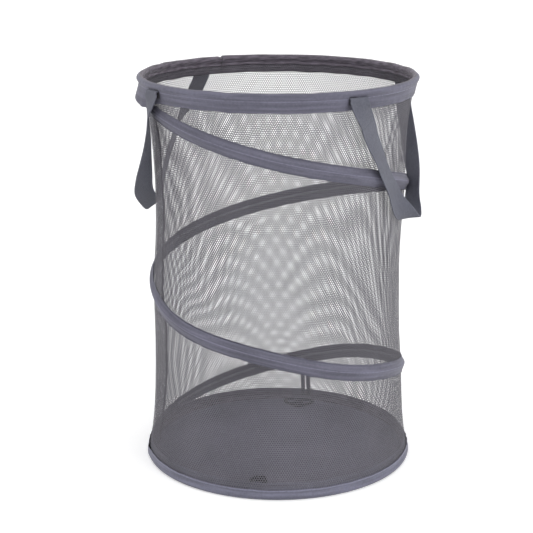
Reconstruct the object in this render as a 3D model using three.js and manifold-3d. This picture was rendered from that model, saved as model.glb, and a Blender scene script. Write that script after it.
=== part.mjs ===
// Pop up laundry hamper. Two rings and a two turn spiral of spring wire, each in a sewn tape, hold a
// mesh wall up. The wall is sewn to the rings by folded bindings and has a solid cloth floor, two
// webbing carry handles, and two cord ties that keep the hamper flat when it is folded.
// Millimetres, +Z up, origin in the middle of the underside of the base ring, front towards -Y.
// Azimuths are degrees round the hamper from the front, growing towards +X.

import * as THREE from 'three';
import { mergeVertices } from 'three/addons/utils/BufferGeometryUtils.js';
import Module from 'manifold-3d';

// Overall size
const height = 502;
const rimRadius = 176;
const baseRadius = 173.7;
const stations = 48; // facets round the hamper, shared by all that goes round it

// Cloth layers and wire
const tapeThickness = 1;
const meshThickness = 0.8;
const floorThickness = 0.8;
const layerGap = 0.3; // between one sewn layer and the next
const wireRadius = 1.5;
const wireSides = 6;
const overrun = 5; // how far a cutting block passes what it trims

// Bindings: a tape folded over a ring wire, with a roll round the wire and a leg each side of the mesh
const rollRadius = 4.2;
const rollSides = 8;
const rollToStitch = 5.3; // from the middle of the roll to the stitch line that closes it
const rimBandDepth = 23;
const rimInnerLeg = 3; // the inner leg at the rim is a narrow one
const rimStitchInset = 3.4; // outer face of the mesh, in from the rim's radius, at the stitch line
const rimSeamInset = 7; // and at the lower edge of the rim's binding
const baseStitchInset = 2.5;
const baseSeamInset = 4.3;
const baseOuterBand = 13;
const baseInnerBand = 20.6;

// Wire rings: each is one length of wire whose ends meet in a crimped ferrule
const wireSeat = 0.7; // how far the wire sits from the middle of its roll, drawn tight by the wall
const wireJointGap = 1;
const ferruleLength = 24;
const ferruleWall = 0.4;
const rimFerruleStation = -6;
const baseFerruleStation = 2;

// Mesh wall, drawn in between the wires
const wallInset = 11.9; // outer face of the mesh where the spiral holds it, in from the base's radius
const flareReach = 25; // how fast the wall opens out to the rings
const flareShare = 0.5;
const upperWaist = 9; // how far a full bay is drawn in, high on the wall
const lowerWaist = 1.5; // and low on the wall
const seamAzimuth = -78;
const wallRowShares = [0.035, 0.12, 0.24, 0.37, 0.5, 0.63, 0.76, 0.88, 0.96];

// Spiral: wire and the tape sewn over it on the outside of the mesh
const spiralTurns = 2;
const spiralStartDrop = 4; // below the rim's binding, at the side seam
const spiralEndDrop = 21.4; // below the top of the base's outer leg, two turns on
const spiralTapeWidth = 20;
const spiralWireStations = 90; // the wire stops just over the base's binding
const spiralGap = 0.45; // between the mesh and what lies on it
const archSteps = 4; // facets of the tape's arch over the wire

// Side seam: its allowance, bound in tape, stands inwards from the mesh and leans to the front
const seamTapeWidth = 14;
const seamTapeThickness = 1.6;
const seamTapeGap = 0.5;
const seamMostLean = 62; // degrees
const seamUprightLevel = 150; // where it stands upright
const seamUprightReach = 60;

// Hold loop of narrow tape on the base's binding, inside the back of the wall
const holdLoopAzimuth = 166;
const holdLoopTop = 50;
const holdLoopSpread = 7.8; // between the middles of its two legs
const holdTapeWidth = 6;
const holdTapeThickness = 1;
const holdTapeGap = 0.6;
const holdFootLift = 1; // over the stitch line
const holdLegRows = [21.5, 26, 32];
const holdTurnSteps = 8;

// Carry handles of webbing, sewn in under the rim's roll
const webbingWidth = 25;
const webbingThickness = 1.6;
const rightHandleAzimuth = 76.5;
const leftHandleAzimuth = rightHandleAzimuth - 180;
const handleHalfSpread = 42;
const rightHandleDrop = 166;
const leftHandleDrop = 173;
const handleLinePower = 2.35; // the loop hangs as a flat bottomed V
const handleTuck = 5.2; // how far the bottom of the loop hangs in
const handleTuckShare = 0.82; // from this share of the drop on
const handleEndLength = 16.2; // sewn end, from the fold down
const handleEndGap = 0.9;
const handleEase = 0.4; // how much further out the webbing stands than its least gap asks
const handleBendDrop = 3; // from the stitch line down to where the webbing turns down
const handleCreaseLift = 1.1; // middle of the webbing off the binding, in the crease under the roll
const handleCreaseRise = 0.5; // and over the stitch line
const handleTwist = 82; // degrees, from flat on the wall to edge on at the bottom
const rightFrontTwistPower = 2.3; // how late on its way down each side of a loop turns
const rightRearTwistPower = 1.7;
const leftFrontTwistPower = 0.8;
const leftRearTwistPower = 1.65;
const handleSteps = 26;

// Cord ties sewn into the base seam, which lie on the floor
const frontTieAzimuth = -9;
const backTieAzimuth = 171;
const tieCord = 4;
const frontTieWidth = 25;
const frontTieLength = 51;
const backTieWidth = 36; // the back loop lies spread out
const backTieLength = 42;
const tieSteps = 6; // facets of each round end of a loop
const tieTabWidth = 12;
const tieTabThickness = 1.5;
const tieTabGap = 0.8; // a flat tab stands further off the round binding than the cloth layers do
const tieTabBend = 0.4; // over the stitch line
const tieTabShoulder = 2; // over the middle of the roll
const tieTabInset = 0.6; // in from the edge of the floor

// Levels and radii that follow from the sizes above
const wallRadius = baseRadius - wallInset;
const rimStitchRadius = rimRadius - rimStitchInset;
const rimSeamRadius = rimRadius - rimSeamInset;
const baseStitchRadius = baseRadius - baseStitchInset;
const baseSeamRadius = baseRadius - baseSeamInset;
const rimRollZ = height - rollRadius;
const rimRollR = rimRadius - rollRadius;
const rimStitchZ = rimRollZ - rollToStitch;
const rimBandBottom = height - rimBandDepth;
const baseRollZ = rollRadius;
const baseRollR = baseRadius - rollRadius;
const baseStitchZ = baseRollZ + rollToStitch;
const rimWireZ = rimRollZ + wireSeat;
const baseWireZ = baseRollZ - wireSeat;
const floorRadius = baseRollR - rollRadius - layerGap;
const floorTop = baseRollZ + floorThickness / 2;
const spiralStartZ = rimBandBottom - spiralStartDrop;
const spiralPitch = (spiralStartZ - baseOuterBand + spiralEndDrop) / spiralTurns;
const stationAngle = 360 / stations;
const foldRadius = rimRadius + layerGap + handleEase + webbingThickness / 2;
const foldZ = rimStitchZ;

const wasm = await Module();
wasm.setup();

const rad = THREE.MathUtils.degToRad;

function cloth(color, roughness) {
  return new THREE.MeshStandardMaterial({ color, roughness, metalness: 0 });
}

const finishes = {
  tape: cloth(0x74737f, 0.75),
  mesh: cloth(0x8c8b8c, 0.8),
  floor: cloth(0x64626c, 0.85),
  webbing: cloth(0x6a6f7b, 0.8),
  cord: cloth(0x1c1b20, 0.7),
  wire: new THREE.MeshStandardMaterial({ color: 0x9a9ca0, roughness: 0.35, metalness: 1 }),
};

const hamper = new THREE.Group();

// Signed volume of a closed indexed geometry, positive when its faces point out
function signedVolume(geometry) {
  const position = geometry.getAttribute('position');
  const index = geometry.getIndex();
  const [a, b, c] = [new THREE.Vector3(), new THREE.Vector3(), new THREE.Vector3()];
  let sum = 0;
  for (let i = 0; i < index.count; i += 3) {
    a.fromBufferAttribute(position, index.getX(i));
    b.fromBufferAttribute(position, index.getX(i + 1));
    c.fromBufferAttribute(position, index.getX(i + 2));
    sum += a.dot(b.cross(c));
  }
  return sum / 6;
}

// One closed body: shared vertices merged and every face turned outwards
function closedBody(source) {
  const bare = source.clone();
  bare.deleteAttribute('normal');
  bare.deleteAttribute('uv');
  const body = mergeVertices(bare);
  if (signedVolume(body) < 0) {
    const index = Array.from(body.getIndex().array);
    for (let i = 0; i < index.length; i += 3) {
      [index[i], index[i + 1]] = [index[i + 1], index[i]];
    }
    body.setIndex(index);
  }
  return body;
}

function addPiece(name, geometry, finish) {
  const body = closedBody(geometry).toNonIndexed();
  body.computeVertexNormals();
  const mesh = new THREE.Mesh(body, finish);
  mesh.name = name;
  hamper.add(mesh);
}

function toManifold(geometry) {
  const body = closedBody(geometry);
  return new wasm.Manifold(new wasm.Mesh({
    numProp: 3,
    vertProperties: new Float32Array(body.getAttribute('position').array),
    triVerts: new Uint32Array(body.getIndex().array),
  }));
}

function fromManifold(manifold) {
  const mesh = manifold.getMesh();
  const geometry = new THREE.BufferGeometry();
  geometry.setAttribute('position', new THREE.BufferAttribute(new Float32Array(mesh.vertProperties), 3));
  geometry.setIndex(new THREE.BufferAttribute(new Uint32Array(mesh.triVerts), 1));
  return geometry;
}

// A point at a radius and azimuth round the hamper's axis
function around(radius, azimuth, z) {
  return new THREE.Vector3(radius * Math.sin(rad(azimuth)), -radius * Math.cos(rad(azimuth)), z);
}

// The unit vector that points outwards at an azimuth
function outward(azimuth) {
  return around(1, azimuth, 0);
}

// The unit vector level round the hamper at an azimuth
function sideways(azimuth) {
  return around(1, azimuth + 90, 0);
}

function upward(length) {
  return new THREE.Vector3(0, 0, length);
}

function stationAzimuth(station) {
  return seamAzimuth + station * stationAngle;
}

// What the facets leave of a radius between two stations, as a share of it
function chordShare(azimuth) {
  const turned = THREE.MathUtils.euclideanModulo(azimuth - seamAzimuth, stationAngle);
  return Math.cos(rad(stationAngle / 2)) / Math.cos(rad(turned - stationAngle / 2));
}

// A full ring from a closed outline of radius and height
function ring(outline) {
  const geometry = new THREE.LatheGeometry([...outline, outline[0]], stations, rad(seamAzimuth));
  return geometry.rotateX(Math.PI / 2);
}

// A solid through a row of like sections. It closes on itself, or ends in flat caps of the given outline
function loft(sections, capOutline = null) {
  const size = sections[0].length;
  const indices = [];
  const spans = capOutline ? sections.length - 1 : sections.length;
  for (let i = 0; i < spans; i += 1) {
    const here = i * size;
    const next = ((i + 1) % sections.length) * size;
    for (let j = 0; j < size; j += 1) {
      const k = (j + 1) % size;
      indices.push(here + j, next + j, next + k, here + j, next + k, here + k);
    }
  }
  if (capOutline) {
    const last = (sections.length - 1) * size;
    const turn = Math.sign(THREE.ShapeUtils.area(capOutline));
    for (const face of THREE.ShapeUtils.triangulateShape(capOutline, [])) {
      const same = Math.sign(THREE.ShapeUtils.area(face.map((i) => capOutline[i]))) === turn;
      const [a, b, c] = same ? face : [face[0], face[2], face[1]];
      indices.push(a, b, c, last + a, last + c, last + b);
    }
  }
  const geometry = new THREE.BufferGeometry().setFromPoints(sections.flat());
  geometry.setIndex(indices);
  return geometry;
}

// A regular outline round a middle, with a corner at each step from the first angle
function roundOutline(middleR, middleZ, radius, sides, firstAngle = 0) {
  const points = [];
  for (let i = 0; i < sides; i += 1) {
    const angle = rad(firstAngle + (360 * i) / sides);
    points.push(new THREE.Vector2(middleR + radius * Math.cos(angle), middleZ + radius * Math.sin(angle)));
  }
  return points;
}

// The spiral's height at an azimuth counted on through its turns
function spiralHeight(azimuth) {
  return spiralStartZ - (spiralPitch * (azimuth - seamAzimuth)) / 360;
}

// Radius of the mesh where a wire holds it: wider towards both rings
function heldRadius(z) {
  const toRim = (rimSeamRadius - wallRadius) * Math.exp((z - rimBandBottom) / flareReach);
  const toBase = (baseSeamRadius - wallRadius) * Math.exp((baseInnerBand - z) / flareReach);
  return wallRadius + toRim + toBase;
}

// Levels at which the mesh is held at an azimuth, from the rim down to the base
function heldLevels(azimuth) {
  const turned = THREE.MathUtils.euclideanModulo(azimuth - seamAzimuth, 360);
  const levels = [rimBandBottom];
  for (let turn = 0; turn <= spiralTurns; turn += 1) {
    const level = spiralHeight(seamAzimuth + turned + 360 * turn);
    if (level < rimBandBottom && level > baseInnerBand) {
      levels.push(level);
    }
  }
  levels.push(baseInnerBand);
  return levels;
}

// Outer radius of the mesh in the two bindings, where it is straight
function bandSeamRadius(z) {
  if (z >= rimBandBottom) {
    const up = (z - rimBandBottom) / (rimStitchZ - rimBandBottom);
    return THREE.MathUtils.lerp(rimSeamRadius, rimStitchRadius, up);
  }
  const down = (baseInnerBand - z) / (baseInnerBand - baseStitchZ);
  return THREE.MathUtils.lerp(baseSeamRadius, baseStitchRadius, down);
}

// Outer radius of the mesh all the way up: in the bindings, and drawn in between the wires
function smoothWallRadius(azimuth, z) {
  if (z >= rimBandBottom || z <= baseInnerBand) {
    return bandSeamRadius(z);
  }
  const levels = heldLevels(azimuth);
  const bay = levels.findIndex((level) => level <= z);
  const [top, bottom] = [levels[bay - 1], levels[bay]];
  const down = (top - z) / (top - bottom);
  const straight = THREE.MathUtils.lerp(heldRadius(top), heldRadius(bottom), down);
  const middleShare = ((top + bottom) / 2 - baseInnerBand) / (rimBandBottom - baseInnerBand);
  const waist = THREE.MathUtils.lerp(lowerWaist, upperWaist, middleShare);
  const bayShare = (top - bottom) / spiralPitch;
  const drawnIn = waist * bayShare ** 2 * 4 * down * (1 - down);
  return THREE.MathUtils.lerp(heldRadius(z), straight, flareShare) - drawnIn;
}

// Levels of the mesh's rows of vertices, from its lower edge to its upper edge
function wallRows() {
  const free = wallRowShares.map((share) => THREE.MathUtils.lerp(baseInnerBand, rimBandBottom, share));
  return [baseStitchZ + layerGap, baseInnerBand, ...free, rimBandBottom, rimStitchZ - layerGap];
}

const rows = wallRows();

// Outer radius of the faceted mesh at a station
function wallRadiusAt(azimuth, z) {
  const found = rows.findIndex((row) => row >= z);
  const above = found < 0 ? rows.length - 1 : Math.max(found, 1);
  const share = (z - rows[above - 1]) / (rows[above] - rows[above - 1]);
  const low = smoothWallRadius(azimuth, rows[above - 1]);
  const high = smoothWallRadius(azimuth, rows[above]);
  return THREE.MathUtils.lerp(low, high, share);
}

// A point of the faceted mesh between two stations, moved outwards by a lift
function onFacets(azimuth, z, lift) {
  const turned = (azimuth - seamAzimuth) / stationAngle;
  const before = Math.floor(turned);
  const corner = (station) => {
    const at = stationAzimuth(station);
    return around(wallRadiusAt(at, z) + lift, at, z);
  };
  return corner(before).lerp(corner(before + 1), turned - before);
}

// The corners of a folded roll, from the outer leg round the fold to the inner leg. The roll has a flat
// on the fold, and its two corners towards the legs are left out. fold is 1 for a fold on top
function rollCorners(roll, radius, fold) {
  const step = 360 / rollSides;
  const points = [];
  for (let i = 0; i < rollSides - 2; i += 1) {
    const angle = rad((i - 1 / 2) * step) * fold;
    const reach = radius / Math.cos(rad(step / 2));
    points.push(new THREE.Vector2(roll.x + reach * Math.cos(angle), roll.y + reach * Math.sin(angle)));
  }
  return points;
}

// Outline of a binding: the roll round the wire, closed at the stitch line, and a leg each side of the mesh
function bindingOutline(roll, fold, stitch, outerEnd, innerEnd) {
  const outerLeg = (z, lift) => new THREE.Vector2(bandSeamRadius(z) + layerGap + lift, z);
  const innerLeg = (z, lift) => new THREE.Vector2(bandSeamRadius(z) - meshThickness - layerGap - lift, z);
  return [
    outerLeg(outerEnd, tapeThickness),
    outerLeg(stitch, tapeThickness),
    ...rollCorners(roll, rollRadius, fold),
    innerLeg(stitch, tapeThickness),
    innerLeg(innerEnd, tapeThickness),
    innerLeg(innerEnd, 0),
    innerLeg(stitch, 0),
    ...rollCorners(roll, rollRadius - tapeThickness, fold).reverse(),
    outerLeg(stitch, 0),
    outerLeg(outerEnd, 0),
  ];
}

function makeRimBinding() {
  const roll = new THREE.Vector2(rimRollR, rimRollZ);
  return ring(bindingOutline(roll, 1, rimStitchZ, rimBandBottom, rimStitchZ - rimInnerLeg));
}

function makeBaseBinding() {
  const roll = new THREE.Vector2(baseRollR, baseRollZ);
  return ring(bindingOutline(roll, -1, baseStitchZ, baseOuterBand, baseInnerBand));
}

// A ring wire, from one side of its ferrule's middle round to the other
function makeRingWire(radius, z, ferruleStation) {
  const halfGap = THREE.MathUtils.radToDeg(wireJointGap / 2 / radius);
  const azimuths = [stationAzimuth(ferruleStation) + halfGap];
  for (let i = 1; i < stations; i += 1) {
    azimuths.push(stationAzimuth(ferruleStation + i));
  }
  azimuths.push(stationAzimuth(ferruleStation + stations) - halfGap);
  const outline = roundOutline(radius, z, wireRadius, wireSides);
  return loft(azimuths.map((azimuth) => sectionAt(outline, azimuth)), outline);
}

// An outline of radius and height stood up at an azimuth, shortened to the facets between stations
function sectionAt(outline, azimuth) {
  return outline.map((point) => around(point.x * chordShare(azimuth), azimuth, point.y));
}

// The tube crimped over the two ends of a ring wire
function makeFerrule(radius, z, station) {
  const half = THREE.MathUtils.radToDeg(ferruleLength / 2 / radius);
  const middle = stationAzimuth(station);
  const bore = wireRadius + layerGap;
  const tube = (tubeRadius, reach) => {
    const outline = roundOutline(radius, z, tubeRadius, wireSides);
    const azimuths = [middle - half * reach, middle, middle + half * reach];
    return toManifold(loft(azimuths.map((azimuth) => sectionAt(outline, azimuth)), outline));
  };
  return fromManifold(tube(bore + ferruleWall, 1).subtract(tube(bore, 1 + overrun / ferruleLength)));
}

function makeFloor() {
  const [radius, start] = [floorRadius, rad(seamAzimuth)];
  const disc = new THREE.CylinderGeometry(radius, radius, floorThickness, stations, 1, false, start);
  return disc.rotateX(Math.PI / 2).translate(0, 0, baseRollZ);
}

function makeMeshWall() {
  const sections = [];
  for (let i = 0; i < stations; i += 1) {
    const azimuth = stationAzimuth(i);
    const outer = rows.map((z) => around(smoothWallRadius(azimuth, z), azimuth, z));
    const inner = rows.map((z) => around(smoothWallRadius(azimuth, z) - meshThickness, azimuth, z));
    sections.push([...outer, ...inner.reverse()]);
  }
  return loft(sections);
}

// Height of the spiral's wire over the mesh, to its middle
const spiralWireLift = spiralGap + wireRadius;

// The wire leans as it climbs, so a level cut through it is taller than it is wide
const spiralLean = Math.hypot(1, spiralPitch / (2 * Math.PI * wallRadius));

// Azimuths of the spiral's sections, counted on through its turns
function spiralAzimuths(count) {
  return Array.from({ length: count + 1 }, (_, station) => stationAzimuth(station));
}

function spiralWirePoint(azimuth) {
  const z = spiralHeight(azimuth);
  return around(wallRadiusAt(azimuth, z) + spiralWireLift, azimuth, z);
}

// The spiral's wire, one unbroken length from under the rim's binding to the top of the base's
function makeSpiralWire() {
  const outline = roundOutline(0, 0, wireRadius, wireSides);
  const sections = spiralAzimuths(spiralWireStations).map((azimuth) => {
    const middle = spiralWirePoint(azimuth);
    return outline.map((point) => (
      middle.clone().addScaledVector(outward(azimuth), point.x).add(upward(point.y * spiralLean))
    ));
  });
  return loft(sections, outline);
}

// The least gap between one turn of the spiral's wire and the next
function spiralSelfGap() {
  const points = spiralAzimuths(spiralWireStations).map(spiralWirePoint);
  let least = Infinity;
  points.forEach((point, i) => {
    for (const other of points.slice(i + stations / 2)) {
      least = Math.min(least, point.distanceTo(other) - 2 * wireRadius);
    }
  });
  return least;
}

// One face of the spiral's tape, as lift off the mesh and place across: two flat edges and an arch
function spiralTapeFace(lift, archRadius) {
  const half = spiralTapeWidth / 2;
  const reach = archRadius / Math.cos(rad(90 / archSteps));
  const face = [new THREE.Vector2(lift, -half), new THREE.Vector2(lift, -reach)];
  for (let i = 0; i <= archSteps; i += 1) {
    const angle = rad((180 * i) / archSteps);
    face.push(new THREE.Vector2(spiralWireLift + reach * Math.sin(angle), -reach * Math.cos(angle)));
  }
  face.push(new THREE.Vector2(lift, reach), new THREE.Vector2(lift, half));
  return face;
}

// The spiral's tape, trimmed where it meets the two bindings
function makeSpiralTape() {
  const bore = wireRadius + layerGap;
  const inside = spiralTapeFace(spiralGap, bore);
  const outside = spiralTapeFace(spiralGap + tapeThickness, bore + tapeThickness);
  const outline = [...inside, ...outside.reverse()];
  const sections = spiralAzimuths(spiralTurns * stations).map((azimuth) => outline.map((point) => {
    const middle = spiralHeight(azimuth);
    const z = middle + point.y * spiralLean;
    const followed = point.x < spiralWireLift ? z : middle; // the edges lie on the mesh, the arch on the wire
    return around(wallRadiusAt(azimuth, followed) + point.x, azimuth, z);
  }));
  const [bottom, top] = [baseOuterBand + layerGap, rimBandBottom - layerGap];
  const side = 2 * (Math.max(rimRadius, baseRadius) + overrun);
  const block = new THREE.BoxGeometry(side, side, top - bottom);
  block.translate(0, 0, (top + bottom) / 2);
  return fromManifold(toManifold(loft(sections, outline)).intersect(toManifold(block)));
}

// How far the side seam's tape leans from upright on the mesh, at a level
function seamLean(z) {
  const away = (z - seamUprightLevel) / seamUprightReach;
  return rad(seamMostLean * (1 - Math.exp(-(away ** 2))));
}

// The tape that binds the side seam's allowance, from one binding to the other
function makeSideSeamTape() {
  const out = outward(seamAzimuth);
  const side = sideways(seamAzimuth);
  const half = seamTapeThickness / 2;
  const outline = [
    new THREE.Vector2(0, -half),
    new THREE.Vector2(seamTapeWidth, -half),
    new THREE.Vector2(seamTapeWidth, half),
    new THREE.Vector2(0, half),
  ];
  const ends = [baseInnerBand + layerGap, rimBandBottom - layerGap];
  const levels = [ends[0], ...rows.filter((row) => row > ends[0] && row < ends[1]), ends[1]];
  const sections = levels.map((z) => {
    const lean = seamLean(z);
    const [cos, sin] = [Math.cos(lean), Math.sin(lean)];
    const root = onFacets(seamAzimuth, z, -meshThickness - seamTapeGap - half * sin);
    return outline.map((point) => (
      root.clone()
        .addScaledVector(out, -point.x * cos + point.y * sin)
        .addScaledVector(side, point.x * sin + point.y * cos)
    ));
  });
  return loft(sections, outline);
}

// Radius of the hold loop's middle: inside the base's inner leg, and inside the mesh over it
function holdLoopRadius(z) {
  const leg = bandSeamRadius(Math.min(z, baseInnerBand)) - layerGap - tapeThickness;
  const wall = z > baseInnerBand ? wallRadiusAt(holdLoopAzimuth, z) : leg;
  return Math.min(leg, wall) - meshThickness - holdTapeGap - holdTapeThickness / 2;
}

// The hold loop: up one leg, round its turn, and down the other
function makeHoldLoop() {
  const half = holdLoopSpread / 2;
  const turnZ = holdLoopTop - half - holdTapeWidth / 2;
  const leg = [baseStitchZ + holdFootLift, ...holdLegRows];
  const places = leg.map((z) => ({ angle: Math.PI, z }));
  for (let i = 0; i <= holdTurnSteps; i += 1) {
    places.push({ angle: Math.PI * (1 - i / holdTurnSteps), z: turnZ });
  }
  places.push(...leg.reverse().map((z) => ({ angle: 0, z })));
  const outline = roundOutline(0, 0, 1, 4, 45).map((corner) => new THREE.Vector2(
    (Math.sign(corner.x) * holdTapeWidth) / 2,
    (Math.sign(corner.y) * holdTapeThickness) / 2,
  ));
  const sections = places.map((place) => outline.map((corner) => {
    const reach = half + corner.x;
    const z = place.z + reach * Math.sin(place.angle);
    const radius = (holdLoopRadius(z) + corner.y) * chordShare(holdLoopAzimuth);
    const across = sideways(holdLoopAzimuth).multiplyScalar(reach * Math.cos(place.angle));
    return around(radius, holdLoopAzimuth, z).add(across);
  }));
  return loft(sections, outline);
}

// The webbing's cross section: across its width, and through its thickness
const webbingOutline = [
  new THREE.Vector2(-webbingWidth / 2, -webbingThickness / 2),
  new THREE.Vector2(webbingWidth / 2, -webbingThickness / 2),
  new THREE.Vector2(webbingWidth / 2, webbingThickness / 2),
  new THREE.Vector2(-webbingWidth / 2, webbingThickness / 2),
];

// A place on a handle's line: across runs from -1 at one sewn end, over 0 at the bottom, to 1
function strapPlace(handle, across) {
  const depth = 1 - Math.abs(across) ** handleLinePower;
  const tuck = handleTuck * THREE.MathUtils.smoothstep(depth, handleTuckShare, 1);
  const azimuth = handle.azimuth + handleHalfSpread * across;
  const power = handle.twistPowers[across < 0 ? 0 : 1];
  return {
    azimuth,
    twist: rad(handle.sense * handleTwist * depth ** power),
    point: around(foldRadius - tuck, azimuth, foldZ - handle.drop * depth),
  };
}

// The place on the line at a drop below the fold, on one side of the handle
function acrossAtDrop(handle, drop, side) {
  return side * (1 - drop / handle.drop) ** (1 / handleLinePower);
}

// Cross section of the webbing: flat on the wall, then turned about its own line by the twist
function strapSection(place, along) {
  const out = outward(place.azimuth);
  out.addScaledVector(along, -out.dot(along)).normalize();
  const flat = new THREE.Vector3().crossVectors(along, out);
  const width = flat.multiplyScalar(Math.cos(place.twist)).addScaledVector(out, Math.sin(place.twist));
  const thick = new THREE.Vector3().crossVectors(along, width);
  return webbingOutline.map((corner) => (
    place.point.clone().addScaledVector(width, corner.x).addScaledVector(thick, corner.y)
  ));
}

class StrapLine extends THREE.Curve {
  constructor(handle, from, to) {
    super();
    Object.assign(this, { handle, from, to });
  }

  acrossAt(t) {
    return THREE.MathUtils.lerp(this.from, this.to, t);
  }

  getPoint(t) {
    return strapPlace(this.handle, this.acrossAt(t)).point;
  }

  sections(steps) {
    const list = [];
    for (let i = 0; i <= steps; i += 1) {
      const t = this.getUtoTmapping(i / steps);
      list.push(strapSection(strapPlace(this.handle, this.acrossAt(t)), this.getTangent(t)));
    }
    return list;
  }
}

// The free part of a handle, which swings about the folds at its two sewn ends
function makeHandleLoop(handle) {
  const drop = handleEndLength + handleEndGap;
  const line = new StrapLine(handle, acrossAtDrop(handle, drop, -1), acrossAtDrop(handle, drop, 1));
  return loft(line.sections(handleSteps), webbingOutline);
}

// A sewn end: out from the crease under the rim's roll, then turned down over the binding
function makeHandleEnd(handle, side) {
  const bend = strapPlace(handle, acrossAtDrop(handle, handleBendDrop, side));
  const end = strapPlace(handle, acrossAtDrop(handle, handleEndLength, side));
  const creaseRadius = rimStitchRadius + layerGap + tapeThickness + handleCreaseLift;
  const crease = { ...bend, point: around(creaseRadius, bend.azimuth, rimStitchZ + handleCreaseRise) };
  const outwards = bend.point.clone().sub(crease.point).normalize().multiplyScalar(-side);
  const down = end.point.clone().sub(bend.point).normalize().multiplyScalar(-side);
  return loft([
    strapSection(crease, outwards),
    strapSection(bend, outwards.clone().add(down).normalize()),
    strapSection(end, down),
  ], webbingOutline);
}

// Outline of a tie's tab, radius and height: down the binding's inner leg, over its roll, to the floor
function tieTabOutline() {
  const leg = (z) => bandSeamRadius(z) - meshThickness - layerGap - tapeThickness - tieTabGap;
  const top = baseInnerBand - tieTabGap;
  const bend = baseStitchZ + tieTabBend;
  const shoulder = baseRollZ + tieTabShoulder;
  const heel = floorRadius - tieTabInset;
  const foot = floorTop + layerGap;
  return [
    new THREE.Vector2(leg(top), top),
    new THREE.Vector2(leg(bend), bend),
    new THREE.Vector2(heel, shoulder),
    new THREE.Vector2(heel, foot),
    new THREE.Vector2(heel - tieTabThickness, foot),
    new THREE.Vector2(heel - tieTabThickness, shoulder + tieTabGap),
    new THREE.Vector2(leg(bend) - tieTabThickness, bend + tieTabGap),
    new THREE.Vector2(leg(top) - tieTabThickness, top),
  ];
}

function makeTieTab(azimuth) {
  const outline = tieTabOutline();
  const section = (side) => outline.map((point) => (
    around(point.x, azimuth, point.y).addScaledVector(sideways(azimuth), (side * tieTabWidth) / 2)
  ));
  return loft([section(-1), section(1)], outline);
}

// The loop of cord a tie's tab holds: two round ends and two straight sides, flat on the floor
function makeTieLoop(azimuth, loopWidth, loopLength) {
  const cord = roundOutline(0, 0, tieCord / 2, wireSides, 30);
  const endRadius = (loopWidth - tieCord) / 2;
  const length = loopLength - tieCord;
  const outerEnd = floorRadius - tieTabInset - tieTabThickness - layerGap - tieCord / 2;
  const z = floorTop + layerGap + tieCord / 2;
  const half = (inwards, turn) => Array.from({ length: tieSteps + 1 }, (_, i) => {
    const angle = rad((180 * i) / tieSteps - 90);
    const away = sideways(azimuth).multiplyScalar(turn * Math.sin(angle));
    away.addScaledVector(outward(azimuth), turn * Math.cos(angle));
    return cord.map((point) => (
      around(outerEnd - inwards, azimuth, z + point.y).addScaledVector(away, endRadius + point.x)
    ));
  });
  return loft([...half(endRadius, 1), ...half(length - endRadius, -1)]);
}

const rightHandle = {
  azimuth: rightHandleAzimuth,
  drop: rightHandleDrop,
  sense: -1,
  twistPowers: [rightFrontTwistPower, rightRearTwistPower],
};

const leftHandle = {
  azimuth: leftHandleAzimuth,
  drop: leftHandleDrop,
  sense: 1,
  twistPowers: [leftRearTwistPower, leftFrontTwistPower],
};

// The base: ring wire in its binding, and the floor
addPiece('base_ring_wire', makeRingWire(baseRollR, baseWireZ, baseFerruleStation), finishes.wire);
addPiece('base_wire_ferrule', makeFerrule(baseRollR, baseWireZ, baseFerruleStation), finishes.wire);
addPiece('base_binding', makeBaseBinding(), finishes.tape);
addPiece('floor_panel', makeFloor(), finishes.floor);

// The wall: mesh, the spiral sewn round it, and the tape over its side seam
addPiece('mesh_wall', makeMeshWall(), finishes.mesh);
addPiece('spiral_wire', makeSpiralWire(), finishes.wire);
addPiece('spiral_tape', makeSpiralTape(), finishes.tape);
addPiece('side_seam_tape', makeSideSeamTape(), finishes.tape);

// The rim
addPiece('rim_ring_wire', makeRingWire(rimRollR, rimWireZ, rimFerruleStation), finishes.wire);
addPiece('rim_wire_ferrule', makeFerrule(rimRollR, rimWireZ, rimFerruleStation), finishes.wire);
addPiece('rim_binding', makeRimBinding(), finishes.tape);

// The handles: each a loop that swings, and its two sewn ends
addPiece('right_handle_front_end', makeHandleEnd(rightHandle, -1), finishes.webbing);
addPiece('right_handle_rear_end', makeHandleEnd(rightHandle, 1), finishes.webbing);
addPiece('right_handle_loop', makeHandleLoop(rightHandle), finishes.webbing);
addPiece('left_handle_front_end', makeHandleEnd(leftHandle, 1), finishes.webbing);
addPiece('left_handle_rear_end', makeHandleEnd(leftHandle, -1), finishes.webbing);
addPiece('left_handle_loop', makeHandleLoop(leftHandle), finishes.webbing);

// The ties
addPiece('front_tie_tab', makeTieTab(frontTieAzimuth), finishes.webbing);
addPiece('front_tie_loop', makeTieLoop(frontTieAzimuth, frontTieWidth, frontTieLength), finishes.cord);
addPiece('back_tie_tab', makeTieTab(backTieAzimuth), finishes.webbing);
addPiece('back_tie_loop', makeTieLoop(backTieAzimuth, backTieWidth, backTieLength), finishes.cord);

// The hold loop
addPiece('back_hold_loop', makeHoldLoop(), finishes.tape);

console.log(`least gap of the spiral wire to itself: ${spiralSelfGap().toFixed(1)} mm`);

export default hamper;
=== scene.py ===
"""Pop up laundry hamper: the looks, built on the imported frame.

Everything is in metres in the row frame: +Z up, the front towards -Y. Most pieces go round the hamper,
so they are worked out from azimuths (degrees from the front, growing to the right), radii and heights.
"""
import math

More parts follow.
